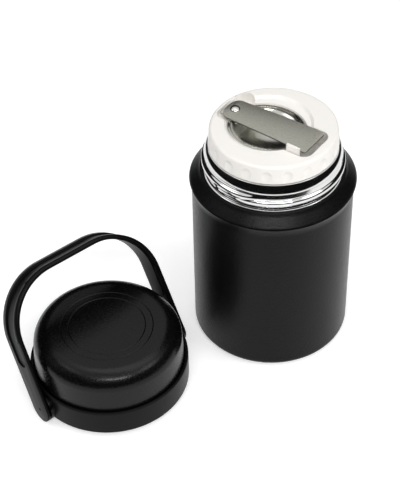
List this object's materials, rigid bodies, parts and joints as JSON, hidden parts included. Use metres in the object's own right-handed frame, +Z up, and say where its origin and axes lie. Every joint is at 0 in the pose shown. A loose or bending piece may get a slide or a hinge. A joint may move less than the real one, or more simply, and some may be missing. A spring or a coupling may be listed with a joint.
{
  "type": "insulated food jar",
  "caption": "Vacuum food jar with screw stopper, folding spoon stowed in the stopper, and a cup lid with a swinging carrying handle.",
  "frame": {"origin": "centre of the jar's foot, on the surface it stands on", "axes": "+Z up along the jar's axis, +X along the longest extent, with the lid standing beside the jar on the -X side"},
  "size_m": [0.1936, 0.1474, 0.1445],
  "materials": {
    "black_coat": "matte black powder coat, fine grain",
    "lid_coat": "matte black powder coat, sandy top",
    "steel": "polished stainless steel",
    "steel_dull": "plain stainless steel",
    "foil": "bright foil",
    "cream_plastic": "warm cream moulded plastic",
    "foam": "closed cell insulation foam",
    "silicone": "translucent grey silicone",
    "spoon_steel": "satin stainless steel",
    "black_plastic": "satin black moulded plastic"
  },
  "bodies": {
    "jar": {"outer_shell": "black_coat", "inner_vessel": "steel", "radiation_shield": "foil", "getter": "steel_dull", "base_plate": "steel_dull", "vacuum_plug": "steel_dull", "base_cover": "steel"},
    "plug": {"stopper_plug": "cream_plastic", "stopper_foam": "foam", "stopper_seal": "silicone"},
    "stopper": {"stopper_shell": "cream_plastic"},
    "spoon": {"spoon_bowl": "spoon_steel", "spoon_rivet": "spoon_steel"},
    "spoon_grip": {"spoon_handle": "spoon_steel"},
    "lid": {"lid_cup": "lid_coat", "lid_liner": "steel", "lid_foam": "foam", "lid_band": "black_plastic", "lid_thread_ring": "black_plastic"},
    "bail": {"carry_handle": "black_plastic", "pivot_pin_near": "steel", "pivot_pin_far": "steel"}
  },
  "joints": [
    {"name": "stopper_lift", "type": "slide", "parent": "jar", "child": "plug", "axis": [0, 0, 1], "range_m": [0, 0.06]},
    {"name": "stopper_turn", "type": "hinge", "parent": "plug", "child": "stopper", "pos_m": [0, 0, 0.12], "axis": [0, 0, 1], "range_deg": [0, 360]},
    {"name": "spoon_lift", "type": "slide", "parent": "stopper", "child": "spoon", "axis": [0, 0, 1], "range_m": [0, 0.05]},
    {"name": "spoon_fold", "type": "hinge", "parent": "spoon", "child": "spoon_grip", "pos_m": [-0.02112, 0.01228, 0.142], "axis": [0, 0, 1], "range_deg": [0, 180]},
    {"name": "lid_lift", "type": "slide", "parent": "jar", "child": "lid", "axis": [0, 0, 1], "range_m": [0, 0.055]},
    {"name": "handle_swing", "type": "hinge", "parent": "lid", "child": "bail", "pos_m": [-0.0909, -0.05635, 0.0084], "axis": [0.742, 0.6704, 0], "range_deg": [-60, 119]}
  ]
}
